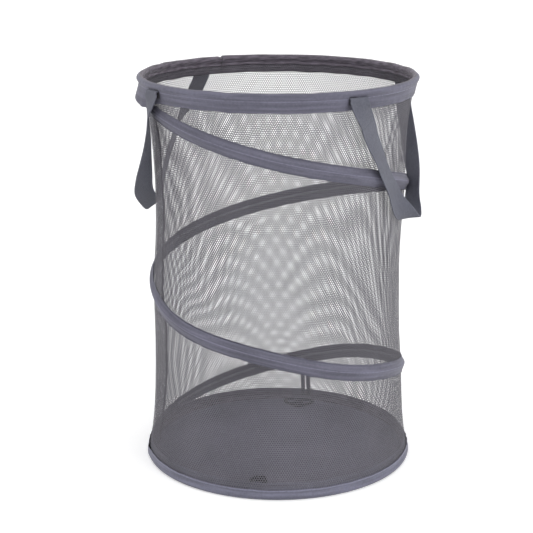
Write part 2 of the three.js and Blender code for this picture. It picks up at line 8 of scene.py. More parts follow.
import bpy
import numpy as np
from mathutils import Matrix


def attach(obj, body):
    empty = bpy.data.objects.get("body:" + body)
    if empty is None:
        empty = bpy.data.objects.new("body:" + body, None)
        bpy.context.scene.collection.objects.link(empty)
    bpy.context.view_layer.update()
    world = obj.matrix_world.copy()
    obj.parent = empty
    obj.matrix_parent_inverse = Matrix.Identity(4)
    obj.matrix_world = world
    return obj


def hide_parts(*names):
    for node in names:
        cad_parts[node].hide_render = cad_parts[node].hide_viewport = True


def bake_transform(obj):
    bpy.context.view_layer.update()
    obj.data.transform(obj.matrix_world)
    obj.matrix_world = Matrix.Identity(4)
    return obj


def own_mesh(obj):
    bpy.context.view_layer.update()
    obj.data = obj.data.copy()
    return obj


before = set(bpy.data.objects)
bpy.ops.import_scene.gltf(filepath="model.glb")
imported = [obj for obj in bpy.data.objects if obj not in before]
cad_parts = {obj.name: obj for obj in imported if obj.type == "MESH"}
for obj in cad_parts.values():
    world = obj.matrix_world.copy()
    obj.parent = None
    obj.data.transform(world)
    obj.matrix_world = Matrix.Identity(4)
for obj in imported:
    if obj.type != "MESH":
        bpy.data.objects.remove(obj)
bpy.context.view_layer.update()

# ------------------------------------------------------------------------------
# Ring wires: a hoop of bright spring wire in the rim and one in the base, each joined by a crimped
# tube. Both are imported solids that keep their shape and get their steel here.


def feed(socket, value):
    """Sets a socket to a number or colour, or links another socket to it."""
    if isinstance(value, bpy.types.NodeSocket):
        socket.id_data.links.new(value, socket)
    else:
        socket.default_value = value


def new_node(kind, *values):
    """A node in the tree of the first socket among values."""
    tree = next(value.id_data for value in values if isinstance(value, bpy.types.NodeSocket))
    return tree.nodes.new(kind)


def calc(operation, *values):
    """One Math node of numbers or sockets."""
    node = new_node("ShaderNodeMath", *values)
    node.operation = operation
    for socket, value in zip(node.inputs, values):
        feed(socket, value)
    return node.outputs[0]


def times(one, other):
    """The product of two numbers or sockets."""
    return calc("MULTIPLY", one, other)


def plus(one, other):
    """The sum of two numbers or sockets."""
    return calc("ADD", one, other)


def apart(one, other):
    """The distance between two numbers or sockets."""
    return calc("ABSOLUTE", calc("SUBTRACT", one, other))


def step(value, low, high, low_gives=0.0, high_gives=1.0):
    """A smooth step of a value from one level to another."""
    node = new_node("ShaderNodeMapRange", value)
    node.interpolation_type = "SMOOTHSTEP"
    for name, amount in zip(("Value", "From Min", "From Max", "To Min", "To Max"),
                            (value, low, high, low_gives, high_gives)):
        feed(node.inputs[name], amount)
    return node.outputs["Result"]


def noise(vector, scale, detail=2.0, stretch=(1, 1, 1)):
    """Noise from 0 to 1 at a scale in waves per metre, stretched along the axes."""
    mapping = new_node("ShaderNodeMapping", vector)
    feed(mapping.inputs["Vector"], vector)
    feed(mapping.inputs["Scale"], stretch)
    node = new_node("ShaderNodeTexNoise", vector)
    feed(node.inputs["Vector"], mapping.outputs["Vector"])
    feed(node.inputs["Scale"], scale)
    feed(node.inputs["Detail"], detail)
    return node.outputs["Fac"]


def tinted(color, amount, other, share=None):
    """A colour mixed towards another by an amount, or by a share of it."""
    node = new_node("ShaderNodeMix", color, amount, other)
    node.data_type = "RGBA"
    feed(node.inputs["Factor"], amount if share is None else times(amount, share))
    feed(node.inputs["A"], color)
    feed(node.inputs["B"], other)
    return node.outputs["Result"]


def bumped(height, strength, distance):
    """A normal from a height that runs from 0 to 1 over a distance in metres."""
    node = new_node("ShaderNodeBump", height)
    feed(node.inputs["Height"], height)
    feed(node.inputs["Strength"], strength)
    feed(node.inputs["Distance"], distance)
    return node.outputs["Normal"]


def dress(shader, color, height, strength, distance):
    """Gives a shader its colour and the relief of a height."""
    feed(shader.inputs["Base Color"], color)
    feed(shader.inputs["Normal"], bumped(height, strength, distance))


def coordinates(tree, kind):
    """Object coordinates, or the piece's own UV map in metres."""
    return tree.nodes.new("ShaderNodeTexCoord").outputs[kind]


def split(vector):
    """The parts of a vector."""
    node = new_node("ShaderNodeSeparateXYZ", vector)
    feed(node.inputs["Vector"], vector)
    return node.outputs


def new_material(name, roughness):
    """A material with a Principled shader: (material, node tree, shader)."""
    material = bpy.data.materials.new(name)
    material.use_nodes = True
    shader = material.node_tree.nodes["Principled BSDF"]
    shader.inputs["Roughness"].default_value = roughness
    return material, material.node_tree, shader


def srgb(red, green, blue):
    """A colour given in the 0 to 255 of a picture, as the shader takes it."""
    parts = [c / 255 for c in (red, green, blue)]
    linear = [c / 12.92 if c <= 0.04045 else ((c + 0.055) / 1.055) ** 2.4 for c in parts]
    return (*linear, 1.0)


def make_steel():
    """Drawn spring steel: grey metal with fine lines along the wire and faint oily blotches."""
    material, tree, shader = new_material("spring_steel", 0.32)
    place = coordinates(tree, "Object")
    blotch = noise(place, 90)
    color = tinted(srgb(168, 170, 175), blotch, srgb(120, 121, 126), 0.5)
    shader.inputs["Metallic"].default_value = 1.0
    feed(shader.inputs["Roughness"], step(blotch, 0.3, 0.7, 0.26, 0.42))
    dress(shader, color, noise(place, 1500, stretch=(1, 1, 0.1)), 0.3, 0.0001)
    return material


steel = make_steel()
for node in ("base_ring_wire", "base_wire_ferrule", "rim_ring_wire", "rim_wire_ferrule"):
    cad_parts[node].data.materials.clear()
    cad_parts[node].data.materials.append(steel)

# ------------------------------------------------------------------------------
# Base binding: a woven tape folded round the base wire, and sewn through its two legs with the mesh
# between them. The line of stitches pinches a roll round the wire.

mm = 0.001
seam_azimuth = -78
rim_band_bottom, rim_stitch, rim_roll = 0.479, 0.4925, (0.1718, 0.4978)
base_band_top, base_inner_top, base_stitch, base_roll = 0.013, 0.0206, 0.0095, (0.1695, 0.0042)
rim_seam_radius, rim_stitch_radius = 0.169, 0.1726
base_seam_radius, base_stitch_radius = 0.1694, 0.1712
roll_radius, tape_thickness, half_height = 3.7 * mm, 0.9 * mm, 0.25


def band_radius(z):
    """Outer radius of the mesh in the two bindings: straight between its two levels in each."""
    rim = np.interp(z, (rim_band_bottom, rim_stitch), (rim_seam_radius, rim_stitch_radius))
    base = np.interp(z, (base_stitch, base_inner_top), (base_stitch_radius, base_seam_radius))
    return np.where(np.asarray(z) > half_height, rim, base)


def around(azimuth, radius, z):
    """Points at an azimuth in degrees from the front, a radius and a height."""
    turn = np.radians(azimuth)
    return np.stack(np.broadcast_arrays(radius * np.sin(turn), -radius * np.cos(turn), z), axis=-1)


def along(line):
    """Distance along a line at each of its points."""
    steps = np.linalg.norm(np.diff(line, axis=0), axis=1)
    return np.concatenate([[0], np.cumsum(steps)])


def unit(vectors):
    """Rows of vectors, each made 1 long."""
    return vectors / np.linalg.norm(vectors, axis=1)[:, None]


def smooth_line(points, count):
    """A Catmull-Rom curve through points, as evenly spaced points."""
    p = np.asarray(points, float)
    p = np.vstack([2 * p[0] - p[1], p, 2 * p[-1] - p[-2]])
    t = np.linspace(0, 1, 24, endpoint=False)[:, None]
    parts = []
    for a, b, c, d in zip(p, p[1:], p[2:], p[3:]):
        parts.append(b + t / 2 * (c - a + t * (2 * a - 5 * b + 4 * c - d + t * (3 * (b - c) + d - a))))
    line = np.vstack([*parts, p[-2:-1]])
    run = along(line)
    even = np.linspace(0, run[-1], count)
    return np.stack([np.interp(even, run, line[:, i]) for i in range(line.shape[1])], axis=-1)


def strip_outline(line, thickness, rounding=4):
    """The closed outline of a strip: a 2-D line, given thickness, with half round ends.
    Returns the points and each point's distance along the line."""
    way = unit(np.gradient(line, axis=0))
    side = np.stack([-way[:, 1], way[:, 0]], axis=1)
    run = along(line)
    half = thickness / 2
    turns = np.linspace(0, np.pi, rounding + 2)[1:-1]
    back, past = half * np.cos(turns)[:, None], half * np.sin(turns)[:, None]
    last = line[-1] + back * side[-1] + past * way[-1]
    first = line[0] - back * side[0] - past * way[0]
    points = np.vstack([line + half * side, last, (line - half * side)[::-1], first])
    return points, np.concatenate([run, run[-1] + past[:, 0], run[::-1], -past[:, 0]])


def add_tube(name, sections, across, lengthways, material, closed):
    """A skin through rows of sections (rows, corners, 3), each a closed loop. It joins up with its first
    row where closed, and ends in flat caps otherwise. The UV map is in metres: across by lengthways.
    across is given per corner, or per row and corner. lengthways is given per row, with one more value
    where it is closed."""
    rows, corners = sections.shape[:2]
    spans = rows if closed else rows - 1
    i, j = np.meshgrid(np.arange(spans), np.arange(corners), indexing="ij")
    i2, j2 = (i + 1) % rows, (j + 1) % corners
    around_face = ((i, j), (i2, j), (i2, j2), (i, j2))
    faces = np.stack([row * corners + corner for row, corner in around_face], axis=-1)
    across = np.broadcast_to(across, (rows, corners))
    lengthways = np.asarray(lengthways)
    u = np.stack([across[place] for place in around_face], axis=-1)
    v = np.stack([lengthways[i], lengthways[i + 1], lengthways[i + 1], lengthways[i]], axis=-1)
    uv = np.stack([u, v], axis=-1).reshape(-1, 2)
    faces = faces.reshape(-1, 4)
    points = sections.reshape(-1, 3)
    a, b, c, d = (points[faces[:, k]] for k in range(4))
    volume = np.einsum("ij,ij->i", a, np.cross(b, c) + np.cross(c, d)).sum()
    faces = faces.tolist()
    if not closed:
        first = list(range(corners))
        last = list(range(corners * (rows - 1), corners * rows))
        faces += [first, last[::-1]]
        caps = [np.stack([across[end], np.full(corners, lengthways[end])], axis=1) for end in (0, -1)]
        uv = np.vstack([uv, caps[0], caps[1][::-1]])
    mesh = bpy.data.meshes.new(name)
    mesh.from_pydata(points, [], faces)
    layer = mesh.uv_layers.new(name="UVMap")
    layer.uv.foreach_set("vector", uv.astype(np.float32).ravel())
    if volume < 0:
        mesh.flip_normals()
    mesh.shade_smooth()
    if not closed:
        mesh.polygons[-1].use_smooth = mesh.polygons[-2].use_smooth = False
    mesh.materials.append(material)
    piece = bpy.data.objects.new(name, mesh)
    bpy.context.collection.objects.link(piece)
    return piece


def settle(piece, body, node):
    """Puts a piece on its body, in the place of a node."""
    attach(piece, body)
    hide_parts(node)


def ripple(angle, waves, seed):
    """A smooth wave round the hamper, about -1 to 1: a few sines of whole wave numbers near the given
    count, each with its own phase."""
    random = np.random.default_rng(seed)
    total = 0
    for share in (0.71, 0.87, 1.0, 1.16, 1.33):
        total = total + np.sin(round(waves * share) * np.radians(angle) + random.uniform(0, 2 * np.pi))
    return total / 2.6


def make_group(name, inputs, outputs):
    """An empty node group: (group tree, its input sockets, its output node). Its sockets are given as
    words. Place and Normal are vectors and all others are numbers."""
    tree = bpy.data.node_groups.new(name, "ShaderNodeTree")
    for titles, in_out in ((inputs, "INPUT"), (outputs, "OUTPUT")):
        for title in titles.split():
            kind = "NodeSocketVector" if title in ("Place", "Normal") else "NodeSocketFloat"
            tree.interface.new_socket(title, in_out=in_out, socket_type=kind)
    return tree, tree.nodes.new("NodeGroupInput").outputs, tree.nodes.new("NodeGroupOutput")


def use_group(group, **values):
    """A node of a group, fed with its named inputs. Returns its outputs."""
    node = new_node("ShaderNodeGroup", *values.values())
    node.node_tree = group
    for title, value in values.items():
        feed(node.inputs[title], value)
    return node.outputs


def make_weave_group():
    """Plain weave: two sets of round threads a pitch apart, each over the other in turn."""
    tree, given, result = make_group("weave", "Across Along Pitch", "Height")
    u, v = (times(calc("DIVIDE", given[way], given["Pitch"]), math.pi) for way in ("Across", "Along"))
    warp, weft = (times(calc("ABSOLUTE", calc("SINE", turn)), 0.5) for turn in (u, v))
    over = times(calc("COSINE", u), calc("COSINE", v))
    swing = calc("MULTIPLY_ADD", over, 0.25, 0.25)
    feed(result.inputs["Height"], plus(plus(warp, weft), swing))
    return tree


def make_stitch_group():
    """A row of sewn stitches: Thread is 1 on the thread and 0 elsewhere, Dent 1 in the groove it pulls."""
    tree, given, result = make_group("stitch_row", "Off Along Pitch", "Thread Dent")
    off = calc("ABSOLUTE", given["Off"])
    turn = calc("FRACT", calc("DIVIDE", given["Along"], given["Pitch"]))
    middle = apart(turn, 0.5)
    inside = times(step(middle, 0.46, 0.36), step(off, 0.00042, 0.0002))
    feed(result.inputs["Thread"], inside)
    feed(result.inputs["Dent"], step(off, 0.0018, 0.0003))
    return tree


def make_fade_group():
    """Uneven dyeing and light lint on cloth: Shade is about 0.5, Lint is a few fine pale flecks."""
    tree, given, result = make_group("cloth_fade", "Place", "Shade Lint")
    broad = noise(given["Place"], 14, 3)
    fine = noise(given["Place"], 420, 2)
    feed(result.inputs["Shade"], calc("MULTIPLY_ADD", fine, 0.45, times(broad, 0.55)))
    feed(result.inputs["Lint"], step(noise(given["Place"], 900, 1), 0.68, 0.8))
    return tree


def make_inside_group():
    """Inside is 1 where a surface faces the hamper's middle axis, and 0 where it faces away from it."""
    tree, given, result = make_group("faces_inside", "Place Normal", "Inside")
    normal, spot = split(given["Normal"]), split(given["Place"])
    outward = calc("MULTIPLY_ADD", normal["X"], spot["X"], times(normal["Y"], spot["Y"]))
    feed(result.inputs["Inside"], step(calc("DIVIDE", outward, 0.17), 0.35, -0.1))
    return tree


weave = make_weave_group()
stitch_row = make_stitch_group()
cloth_fade = make_fade_group()
faces_inside = make_inside_group()


def shaded(color, share):
    """A colour made darker or lighter by a share, up to white."""
    return (*(min(1, part * share) for part in color[:3]), 1.0)


def make_tape_material(name, color, rows, ridges=(), inner_shade=None, pitch=0.0035, lap=None, strap_shadows=()):
    """Woven polyester tape with long soft folds, shown by painted light and shade mixed with its uneven
    dye.
    rows are the places across it, in metres, of its rows of stitches, whose grooves get painted shade, and
    ridges those of its raised folds, each with a painted highlight. inner_shade is the colour of painted
    shade, streaked with painted light and dark along its creases, where it faces the inside of the hamper.
    lap is the place along it where its one end shows, with a painted shade line, and strap_shadows the
    places along it of painted shadows beside the straps that come out of it."""
    material, tree, shader = new_material(name, 0.7)
    flat = coordinates(tree, "UV")
    uv = split(flat)
    place = coordinates(tree, "Object")
    fade = use_group(cloth_fade, Place=place)
    cloth = use_group(weave, Across=uv["X"], Along=uv["Y"], Pitch=0.0007)["Height"]
    folds = noise(flat, 1, 3, (260, 14, 1))
    pucker = noise(flat, 1, 2, (160, 260, 1))
    dark, pale, ridge_highlight_color = (shaded(color, share) for share in (0.7, 1.38, 2.1))
    # Painted light and shade along the long folds, mixed with the uneven dye.
    shade = calc("MULTIPLY_ADD", fade["Shade"], 0.45, times(folds, 0.55))
    mixed = tinted(dark, step(shade, 0.3, 0.7), pale)
    height = calc("MULTIPLY_ADD", cloth, 0.08, times(pucker, 0.25))
    height = plus(height, times(folds, 0.6))
    for row in rows:
        off = calc("SUBTRACT", uv["X"], row)
        sewn = use_group(stitch_row, Off=off, Along=uv["Y"], Pitch=pitch)
        # Painted shade in the groove that each row of stitches pulls.
        mixed = tinted(mixed, sewn["Dent"], dark, 0.45)
        mixed = tinted(mixed, sewn["Thread"], color, 0.6)
        drawn = times(sewn["Dent"], calc("MULTIPLY_ADD", pucker, 0.8, -1.0))
        height = plus(height, calc("MULTIPLY_ADD", sewn["Thread"], 0.7, drawn))
    # Painted highlight along each raised fold, broken up by the puckers, over its real relief.
    for ridge in ridges:
        off = apart(uv["X"], ridge)
        raised = times(step(off, 0.0009, 0.0002), step(pucker, 0.3, 0.55, 0.35, 1.0))
        mixed = tinted(mixed, raised, ridge_highlight_color, 0.5)
        height = plus(height, raised)
    # Painted shade on faces that face the inside of the hamper, streaked with painted light and dark over a
    # real crease relief.
    if inner_shade:
        inside = use_group(faces_inside, Place=place, Normal=coordinates(tree, "Normal"))["Inside"]
        crease = noise(flat, 1, 2, (480, 70, 1))
        inner_shade_streaks = tinted(shaded(inner_shade, 0.55), step(crease, 0.3, 0.7), shaded(inner_shade, 1.5))
        mixed = tinted(mixed, inside, inner_shade_streaks)
        height = plus(height, times(times(crease, inside), 1.5))
    # Painted shadow beside each strap, where its curled edge stands off the tape.
    for slot in strap_shadows:
        near = step(apart(uv["Y"], slot), 0.006, 0.003)
        near = times(near, step(uv["X"], 0.0035, 0.008))
        near = times(near, step(uv["X"], 0.019, 0.0155))
        mixed = tinted(mixed, near, (0.012, 0.011, 0.014, 1), 0.85)
    # Painted shade in a thin line at the lapped end of the tape.
    if lap is not None:
        end = step(apart(uv["Y"], lap), 0.0016, 0.0006)
        mixed = tinted(mixed, end, (0.02, 0.018, 0.022, 1), 0.6)
    mixed = tinted(mixed, fade["Lint"], (0.6, 0.6, 0.62, 1), 0.1)
    dress(shader, mixed, height, 0.7, 0.0006)
    shader.inputs["Sheen Weight"].default_value = 0.15
    shader.inputs["Sheen Roughness"].default_value = 0.5
    return material


def binding_line(roll, fold, stitch, outer_end, inner_end):
    """The line of a folded tape in radius and height: up the outer leg, round the roll and back down the
    inner leg. The legs meet the mesh. fold is 1 for a fold on top and -1 for one below."""
    outer, inner, pinch = 0.8 * mm, -1.6 * mm, 0.1 * mm
    leg = lambda z, lift: (band_radius(z) + lift, z)
    turns = np.radians(np.linspace(-38, 218, 9)) * fold
    round_wire = [(roll[0] + roll_radius * math.cos(t), roll[1] + roll_radius * math.sin(t)) for t in turns]
    middle = lambda a, b: a + (b - a) / 2
    return smooth_line([
        leg(outer_end, outer), leg(middle(outer_end, stitch), outer), leg(stitch, outer - pinch),
        *round_wire,
        leg(stitch, inner + pinch), leg(middle(inner_end, stitch), inner), leg(inner_end, inner),
    ], 64)


def make_binding(name, line, material, wavy_edge, seed, formed):
    """A folded tape all the way round. Its free edges wave a little, the roll is a little uneven and
    puckers at the stitches. formed gives what else moves it out and up at an azimuth."""
    outline, run = strip_outline(line, tape_thickness)
    count = 540
    azimuth = seam_azimuth + np.arange(count)[:, None] * 360 / count
    length = run.max()
    outer = run < length / 2
    free = np.exp(-np.maximum(np.minimum(run, length - run), 0) / (4.5 * mm))
    on_roll = np.clip((np.minimum(run, length + 10 * mm - run) - 15 * mm) / (6 * mm), 0, 1)
    wave = 0.28 * (ripple(azimuth, 64, seed) + 1) * free * np.where(outer, 1, -1)
    pucker = 0.2 * ripple(azimuth, 110, seed + 1) + 0.3 * ripple(azimuth, 17, seed + 3)
    rise = wavy_edge * ripple(azimuth, 23, seed + 2) * free + 0.25 * ripple(azimuth, 19, seed + 4) * on_roll
    more, up = formed(azimuth, outline[:, 1], outer, on_roll)
    radius = outline[:, 0] + (wave + pucker * on_roll) * mm + more
    sections = around(azimuth, radius, outline[:, 1] + rise * mm + up)
    across = np.radians(np.arange(count + 1) * 360 / count) * outline[:, 0].mean()
    return add_tube(name, sections, run, across, material, True)


def shape_base(azimuth, z, outer, on_roll):
    """At the side seam the tape's end turns out and down into a blunt corner."""
    corner = bell(azimuth, seam_azimuth - 1.5, 3.5) * np.clip((z + 1 * mm) / (14 * mm), 0, 1)
    return 1.6 * mm * corner * outer, -1.0 * mm * corner * outer


def bell(azimuth, middle, reach):
    """1 at an azimuth, falling off as a bell curve to both sides of it."""
    return np.exp(-((np.mod(azimuth - middle + 180, 360) - 180) / reach) ** 2)


tape_color = srgb(95, 94, 110)
# Colour of the painted shade on tape faces that face the inside of the hamper.
inner_shade_color = srgb(90, 83, 94)
base_line = binding_line(base_roll, -1, base_stitch, base_band_top, base_inner_top)
base_length = along(base_line)[-1]
base_tape = make_tape_material("base_tape", srgb(107, 107, 124), (base_length - 3.2 * mm,), (1.2 * mm,),
                               inner_shade_color)
base_cover = make_binding("base_cover", base_line, base_tape, 0.25, 11, shape_base)
settle(base_cover, "base", "base_binding")

# ------------------------------------------------------------------------------
# Floor: a disc of solid woven cloth, sewn in at the base binding, where a folded seam rings it.

floor_radius, floor_level, floor_thickness, ridge_radius = 0.165, 0.0042, 0.7 * mm, 0.1605


def make_floor_panel(material):
    """A disc of cloth. It dips and rises by up to 0.6 mm, as cloth does, but not at its middle, and turns
    up by 0.5 mm at its sewn edge."""
    rings = np.concatenate([np.linspace(0.004, 0.15, 44), np.linspace(0.152, floor_radius, 10)])
    azimuth, reach = np.arange(180) * 2.0, rings[:, None]
    wave = np.sin(reach * 75 + 2 * np.sin(np.radians(2 * azimuth)))
    wave = wave + np.sin(np.radians(3 * azimuth) + reach * 40)
    wave = 0.3 * mm * wave * np.clip((floor_radius - reach) / 0.03, 0, 1) ** 0.5 * (reach > 0.03)
    lift = 0.5 * mm * np.exp(-(floor_radius - reach) / (3 * mm))
    top = around(azimuth, reach, floor_level + floor_thickness / 2 + wave + lift)
    under = top - (0, 0, floor_thickness)
    edge = around(azimuth, floor_radius + 0.25 * mm, floor_level + 0.5 * mm)[None]
    sections = np.concatenate([top, edge, under[::-1]])
    run = np.concatenate([rings, [floor_radius], rings[::-1]])
    return add_tube("floor_cloth", sections, np.radians(azimuth), run, material, False)


def make_floor_material():
    """Plain woven polyester, coarser than the tape, with a painted highlight on the ridge of its folded
    seam.
    """
    material, tree, shader = new_material("floor_weave", 0.85)
    place = coordinates(tree, "Object")
    parts = split(place)
    cloth = use_group(weave, Across=parts["X"], Along=parts["Y"], Pitch=0.0009)["Height"]
    fade = use_group(cloth_fade, Place=place)
    reach = calc("SQRT", plus(times(parts["X"], parts["X"]), times(parts["Y"], parts["Y"])))
    ridge = step(apart(reach, ridge_radius), 0.0012, 0.0004)
    broken = step(noise(place, 30), 0.4, 0.6)
    dark, pale = srgb(93, 91, 105), srgb(113, 111, 127)
    mixed = tinted(dark, step(fade["Shade"], 0.25, 0.75), pale)
    # Painted highlight along the seam's raised ridge, broken up by noise.
    mixed = tinted(mixed, times(ridge, broken), srgb(150, 148, 160), 0.5)
    mixed = tinted(mixed, fade["Lint"], (0.5, 0.5, 0.52, 1), 0.15)
    dress(shader, mixed, plus(times(cloth, 0.3), ridge), 0.7, 0.0006)
    return material


floor_cloth = make_floor_panel(make_floor_material())
settle(floor_cloth, "base", "floor_panel")

# ------------------------------------------------------------------------------
# Mesh wall: a cylinder of honeycomb polyester mesh, held by the two bindings and drawn in between the
# wires. It is one length of cloth, closed by the side seam at the left. Its top, in the rim's binding, is
# a piece of its own that goes with the rim.

spiral_start, spiral_pitch, wall_narrow = 0.475, 0.2417, 0.1618
hole_pitch, row_pitch, holes_round = 2.93 * mm, 2.5 * mm, 348


def spiral_height(azimuth):
    """Height of the spiral's wire at an azimuth counted on through its turns: a steady fall plus four
    soft bows. Each adds a * exp(-((azimuth - c) / w)^2) mm, for (a, c, w)."""
    bows = ((-2.5, 0, 40), (-8.5, 310, 35), (-5.5, 392, 38), (5.5, 502, 30))
    bow = sum(high * np.exp(-((azimuth - middle) / wide) ** 2) for high, middle, wide in bows)
    return spiral_start - spiral_pitch * (azimuth - seam_azimuth) / 360 + bow * mm


def held_radius(z):
    """Outer radius of the mesh where a wire holds it: it opens out towards both rings."""
    reach = 0.025
    to_rim = (rim_seam_radius - wall_narrow) * np.exp((z - rim_band_bottom) / reach)
    to_base = (base_seam_radius - wall_narrow) * np.exp((base_inner_top - z) / reach)
    return wall_narrow + to_rim + to_base


def wall_radius(azimuth, z):
    """Outer radius of the mesh: straight in the bindings. Between two levels that hold it, it is half
    way between held_radius and the straight line from one level to the other, less a waist that grows
    with the square of the bay's height."""
    azimuth, z = np.broadcast_arrays(azimuth, z)
    on = seam_azimuth + np.mod(azimuth - seam_azimuth, 360)
    first = spiral_height(on)
    second = np.maximum(spiral_height(on + 360), base_inner_top)
    top = np.where(z > first, rim_band_bottom, np.where(z > second, first, second))
    bottom = np.where(z > first, first, np.where(z > second, second, base_inner_top))
    height = np.maximum(top - bottom, 1e-6)
    down = np.clip((top - z) / height, 0, 1)
    straight = held_radius(top) + (held_radius(bottom) - held_radius(top)) * down
    middle = ((top + bottom) / 2 - base_inner_top) / (rim_band_bottom - base_inner_top)
    waist = (1.5 + 7.5 * middle) * mm * (height / spiral_pitch) ** 2 * 4 * down * (1 - down)
    free = (held_radius(z) + straight) / 2 - waist
    return np.where((z > rim_band_bottom) | (z < base_inner_top), band_radius(z), free)


def make_mesh_wall(name, low, high, rows):
    """Two skins that follow wall_radius from one level to another, with soft upright ripples that fade
    out where the cloth is sewn."""
    thickness = 0.35 * mm
    azimuth = seam_azimuth + np.arange(240)[:, None] * 1.5
    z = np.linspace(low, high, rows)[None, :]
    levels = (rim_band_bottom, spiral_height(azimuth), spiral_height(azimuth + 360), base_inner_top)
    held = [np.abs(z - level) for level in levels]
    loose = np.clip(np.minimum.reduce(np.broadcast_arrays(*held)) / 0.05, 0, 1) ** 1.5
    loose = np.where((z > rim_band_bottom) | (z < base_inner_top), 0, loose)
    swell = 0.7 * mm * ripple(azimuth + 9 * np.sin(z * 22), 13, 5) * loose
    radius = wall_radius(azimuth, z) - 0.15 * mm + swell
    outer, inner = around(azimuth, radius, z), around(azimuth, radius - thickness, z)
    sections = np.concatenate([outer, inner[:, ::-1]], axis=1)
    height = np.concatenate([z[0], z[0, ::-1]])
    turn = np.arange(241) / 240 * holes_round * hole_pitch
    return add_tube(name, sections, height, turn, mesh_cloth, True)


def make_mesh_group():
    """Knitted mesh: oval holes 2.3 mm wide and 2.4 mm high in a honeycomb, between flat bundles of yarn.
    The cloth is a little stretched and askew here and there. Yarn is 1 on the yarn and 0 in the holes,
    and Height is its rounded relief."""
    tree, given, result = make_group("knitted_mesh", "Up Turn Place", "Yarn Height")
    pull = calc("MULTIPLY_ADD", noise(given["Place"], 8, 1), 0.002, given["Turn"])
    lift = calc("MULTIPLY_ADD", noise(given["Place"], 7, 1), 0.002, given["Up"])
    half_pitch = hole_pitch / 2
    nearest = None
    for shift_turn, shift_up in ((0, 0), (half_pitch, row_pitch)):
        across = calc("WRAP", plus(pull, shift_turn), half_pitch, -half_pitch)
        rise = calc("WRAP", plus(lift, shift_up), row_pitch, -row_pitch)
        across = calc("DIVIDE", across, 1.15 * mm)
        rise = calc("DIVIDE", rise, 1.2 * mm)
        away = plus(times(across, across), times(rise, rise))
        nearest = away if nearest is None else calc("MINIMUM", nearest, away)
    twist = calc("SINE", times(plus(lift, pull), 2 * math.pi / 0.0005))
    bundle = step(nearest, 1.0, 1.5)
    feed(result.inputs["Yarn"], step(nearest, 0.92, 1.08))
    feed(result.inputs["Height"], calc("MULTIPLY_ADD", twist, 0.15, bundle))
    return tree


def ribs(value, pitch):
    """Round ribs a pitch apart: abs(sin(pi * value / pitch))."""
    return calc("ABSOLUTE", calc("SINE", times(value, math.pi / pitch)))


def make_mesh_material(name, dark, pale, bound=None):
    """The mesh's yarn, see-through in its holes, with painted shade where it faces the inside of the
    hamper.
    bound is the distance from which a seam is covered by close overlocked thread, dark, with painted shade
    between its ribs."""
    material, tree, shader = new_material(name, 0.7)
    uv, place = split(coordinates(tree, "UV")), coordinates(tree, "Object")
    knit = use_group(knitted_mesh, Up=uv["X"], Turn=uv["Y"], Place=place)
    fade = use_group(cloth_fade, Place=place)
    color = tinted(dark, step(fade["Shade"], 0.25, 0.75), pale)
    inside = use_group(faces_inside, Place=place, Normal=coordinates(tree, "Normal"))["Inside"]
    # Painted shade on the yarn where it faces the inside of the hamper.
    color = tinted(color, inside, (0.06, 0.055, 0.065, 1), 0.5)
    alpha, height = knit["Yarn"], knit["Height"]
    if bound is not None:
        sewn = step(uv["X"], bound - 0.2 * mm, bound + 0.2 * mm)
        thread = ribs(uv["Y"], 0.0011)
        alpha = calc("MAXIMUM", alpha, sewn)
        height = calc("MAXIMUM", height, times(thread, sewn))
        # Dark overlocked thread, with painted shade between its ribs.
        color = tinted(color, sewn, tinted(srgb(48, 42, 50), thread, srgb(78, 70, 80)))
    feed(shader.inputs["Alpha"], alpha)
    dress(shader, color, height, 0.8, 0.0003)
    return material


knitted_mesh = make_mesh_group()
mesh_cloth = make_mesh_material("honeycomb_mesh", srgb(116, 114, 122), srgb(142, 140, 149))
mesh_cylinder = make_mesh_wall("mesh_cylinder", base_stitch + 0.3 * mm, rim_band_bottom - 0.02 * mm, 107)
mesh_top = make_mesh_wall("mesh_top", rim_band_bottom + 0.02 * mm, rim_stitch - 0.3 * mm, 4)
settle(mesh_cylinder, "base", "mesh_wall")
settle(mesh_top, "rim", "mesh_wall")

# ------------------------------------------------------------------------------
# Spiral: a spring wire that winds down the outside of the wall in two turns, in a tunnel of tape that
# is sewn to the mesh along both sides of the wire and along its edges.

spiral_lean = math.hypot(1, spiral_pitch / (2 * math.pi * wall_narrow))
wire_radius, wire_lift, tape_half = 1.5 * mm, 1.95 * mm, 10 * mm


def make_spiral_wire():
    """A round wire clear of the mesh, which stops just over the base's binding."""
    azimuth = seam_azimuth + np.arange(451)[:, None] * 1.5
    z = spiral_height(azimuth)
    turn = np.radians(np.arange(0, 360, 30))
    radius = wall_radius(azimuth, z) + wire_lift + wire_radius * np.cos(turn)
    sections = around(azimuth, radius, z + wire_radius * spiral_lean * np.sin(turn))
    return add_tube("spiral_spring", sections, turn * wire_radius, np.arange(451) * 4.3 * mm, steel, False)


def two_faces(count, past):
    """Shares across a strip, there on its one face and back on the other, and 1 or -1 for the face. Its
    round edges stand past the ends, with 0."""
    share, side = np.linspace(0, 1, count), np.ones(count)
    share = np.concatenate([share, [1 + past], share[::-1], [-past]])
    return share, np.concatenate([side, [0], -side, [0]])


